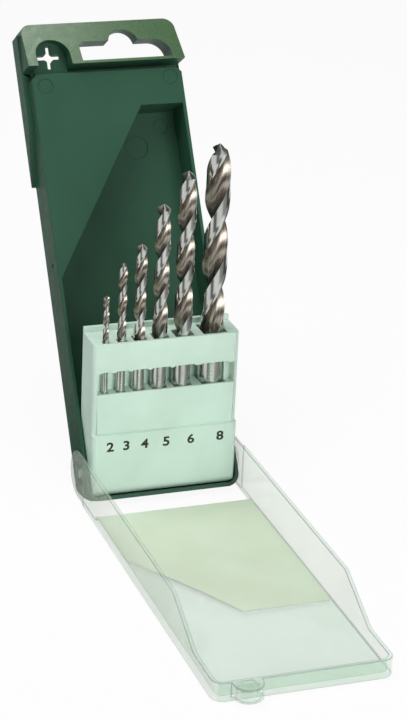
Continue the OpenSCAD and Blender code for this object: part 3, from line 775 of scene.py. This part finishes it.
# the rounded edges' colour, dark: painted shade along the lid's edges
EDGE_PAINTED_SHADE = (0.20, 0.29, 0.27)
COLOUR_TURNS = 0.70, 0.97       # from square on, 0, to along the surface, 1: where the colour changes
SOLID_TURNS = 0.72, 0.98        # and where the surface gets denser
HAZE, HAZE_SCALE = (-0.02, 0.03), 35
LID_EDGE_RADIUS = 0.25 * MM


def clear(name, face_on, at_a_glance, solid_on, solid_glance):
    """Clear plastic whose colour and solidity go from face on to a glance, with a slow haze."""
    f = Finish(name, Roughness=0.08, IOR=1.5)
    glance = f.node("LayerWeight", Blend=0.5).outputs["Facing"]
    f.join(f.ramp(glance, face_on, at_a_glance, *COLOUR_TURNS), f.shader.inputs["Base Color"])
    solid = f.spread(glance, solid_on, solid_glance, *SOLID_TURNS)
    haze = f.spread(f.noise(HAZE_SCALE, 3), *HAZE)
    f.join(combine(f, "ADD", solid, haze), f.shader.inputs["Alpha"])
    return f.material


clear_plastic = clear("clear_plastic", CLEAR, GLANCE, 0.30, 0.50)
clear_wall_painted_light = clear("clear_wall_painted_light", WALL_PAINTED_LIGHT, GLANCE, 0.22, 0.50)
# the edges' finish: painted shade
clear_edge_painted_shade = clear("clear_edge_painted_shade", EDGE_PAINTED_SHADE, EDGE_PAINTED_SHADE, 0.60, 0.75)
lid = softened("lid", "clear_lid", LID_EDGE_RADIUS, clear_plastic, clear_wall_painted_light, clear_edge_painted_shade)

# %% [markdown]
# ## Light
# Plain studio light: a large soft lamp overhead and to the left, a strong one to the right of the camera
# and a weak one far out on the left. A small fourth lamp stands where the header's left end mirrors it
# to the camera, and gives that end its sheen. It only makes reflections and adds no light to the rest.
# The top lamp is the other way round: it lights, but nothing polished mirrors it.

# %% Lamps


def lamp(name, place, aim, size, power):
    """A square soft lamp at place that points at aim; power in watts."""
    data = bpy.data.lights.new(name, "AREA")
    data.size, data.energy = size, power
    obj = bpy.data.objects.new(name, data)
    scene.collection.objects.link(obj)
    obj.location = place
    obj.rotation_mode = "QUATERNION"
    obj.rotation_quaternion = (Vector(place) - Vector(aim)).to_track_quat("Z", "Y")
    return obj


AIM = (0, 0, 0.06)
HEADER_LEFT = (-0.026, 0.0986, 0.131)
lamp("top_lamp", (-0.22, 0.10, 0.85), AIM, 0.55, 5.0).visible_glossy = False
lamp("left_lamp", (-0.80, -0.35, 0.35), AIM, 0.45, 0.45)
lamp("front_lamp", (0.22, -1.02, 0.34), AIM, 0.6, 6.4)
header_lamp = lamp("header_lamp", (0.0, 0.11, 0.246), HEADER_LEFT, 0.04, 0.039)
header_lamp.visible_camera = header_lamp.visible_diffuse = False
print("four lamps")

# %% [markdown]
# ## The room
# The backdrop is white to the camera. Reflections and see-through rays find it white behind the case
# as well, but the rest of the room is a studio with white walls and black flags between them, each a
# span of compass directions. Polished steel needs that: it mirrors bright and dark at once.

# %% The room
FRONT_TURN = 19.3       # degrees from the -Y axis to the photographer, towards -X
AMBIENT = 0.18          # the even light that reaches dull surfaces
ROOM_WALLS = [          # degrees round from the photographer, towards +X, and the strength seen there
    (-180, 1.0), (-150, 0.9), (-132, 0.05), (-100, 0.10), (-80, 0.95), (-38, 0.90), (-26, 0.12), (-6, 0.12),
    (8, 0.95), (52, 0.95), (66, 0.35), (92, 0.30), (108, 0.03), (132, 0.05), (150, 0.9), (180, 1.0)]


def any_ray(tree, path, kinds):
    """1 for a ray of any of those kinds: a chain of maximums over Light Path's outputs."""
    found = path.outputs[kinds[0]]
    for kind in kinds[1:]:
        most = tree.nodes.new("ShaderNodeMath")
        most.operation = "MAXIMUM"
        tree.links.new(found, most.inputs[0])
        tree.links.new(path.outputs[kind], most.inputs[1])
        found = most.outputs[0]
    return found


def between(tree, value, low, high, a=0.0, b=1.0):
    """Maps value from a..b to low..high; low and high are numbers or outputs."""
    m = tree.nodes.new("ShaderNodeMapRange")
    m.inputs["From Min"].default_value, m.inputs["From Max"].default_value = a, b
    for key, v in (("To Min", low), ("To Max", high)):
        if isinstance(v, float):
            m.inputs[key].default_value = v
        else:
            tree.links.new(v, m.inputs[key])
    tree.links.new(value, m.inputs["Value"])
    return m.outputs["Result"]


def room_walls(tree, vector):
    """The strength of ROOM_WALLS at the vector's compass direction: turned so that the photographer is at
    half way round, measured by a radial gradient and looked up in a colour ramp."""
    turned = tree.nodes.new("ShaderNodeMapping")
    turned.inputs["Rotation"].default_value = (0, 0, math.radians(90 + FRONT_TURN))
    compass = tree.nodes.new("ShaderNodeTexGradient")
    compass.gradient_type = "RADIAL"
    walls = tree.nodes.new("ShaderNodeValToRGB")
    for index, (degrees, level) in enumerate(ROOM_WALLS):
        way_round = 0.5 + degrees / 360
        stop = walls.color_ramp.elements[index] if index < 2 else walls.color_ramp.elements.new(way_round)
        stop.position = way_round
        stop.color = (level, level, level, 1)
    tree.links.new(vector, turned.inputs["Vector"])
    tree.links.new(turned.outputs["Vector"], compass.inputs["Vector"])
    tree.links.new(compass.outputs["Fac"], walls.inputs["Fac"])
    return between(tree, walls.outputs["Color"], 0.0, 1.0)


world = bpy.data.worlds.new("studio")
scene.world = world
world.use_nodes = True
room = world.node_tree
path = room.nodes.new("ShaderNodeLightPath")
direction = room.nodes.new("ShaderNodeTexCoord")
mirrored = room_walls(room, direction.outputs["Generated"])
dull = between(room, path.outputs["Is Glossy Ray"], AMBIENT, mirrored)
strength = between(room, any_ray(room, path, ["Is Camera Ray", "Is Transmission Ray"]), dull, 1.0)
room.links.new(strength, room.nodes["Background"].inputs["Strength"])
room.nodes["Background"].inputs["Color"].default_value = (1, 1, 1, 1)
print("room with", len(ROOM_WALLS), "stops round it")

# %% [markdown]
# ## The floor
# The floor is white to every ray that is seen, and keeps a soft share of real light, so a faint
# shadow still grounds the case. In reflections it shows the same white and black walls as the room,
# because the drills, looked down on, mirror mostly the floor around them.

# %% The floor
FLOOR_HALF = 3.0
FLOOR_GLOW = 0.92       # how much of the seen floor is plain white
FLOOR_GAP = 0.02 * MM   # the floor lies this far under the case, so that the two never share a plane

floor_mesh = bpy.data.meshes.new("floor")
corners = [(x * FLOOR_HALF, y * FLOOR_HALF, 0) for x, y in ((-1, -1), (1, -1), (1, 1), (-1, 1))]
floor_mesh.from_pydata(corners, [], [(0, 1, 2, 3)])
floor = bpy.data.objects.new("floor", floor_mesh)
floor.location.z = -FLOOR_GAP
scene.collection.objects.link(floor)
paper = Finish("floor_paper", Roughness=1.0)
paper.shader.inputs["Base Color"].default_value = (0.9, 0.9, 0.9, 1)
paper.shader.inputs["Specular IOR Level"].default_value = 0.0
glow = paper.node("Emission")
glow.inputs["Color"].default_value = (1, 1, 1, 1)
floor_path = paper.node("LightPath")
on_floor = room_walls(paper.tree, paper.coords.outputs["Object"])
paper.join(between(paper.tree, floor_path.outputs["Is Glossy Ray"], 1.0, on_floor), glow.inputs["Strength"])
seen = any_ray(paper.tree, floor_path, ["Is Camera Ray", "Is Transmission Ray", "Is Glossy Ray"])
blend = paper.node("MixShader")
paper.join(paper.spread(seen, 0.0, FLOOR_GLOW, 0, 1), blend.inputs[0])
paper.join(paper.shader.outputs[0], blend.inputs[1])
paper.join(glow.outputs[0], blend.inputs[2])
paper.join(blend.outputs[0], paper.tree.nodes["Material Output"].inputs["Surface"])
floor_mesh.materials.append(paper.material)
print("floor", 2 * FLOOR_HALF, "m wide")
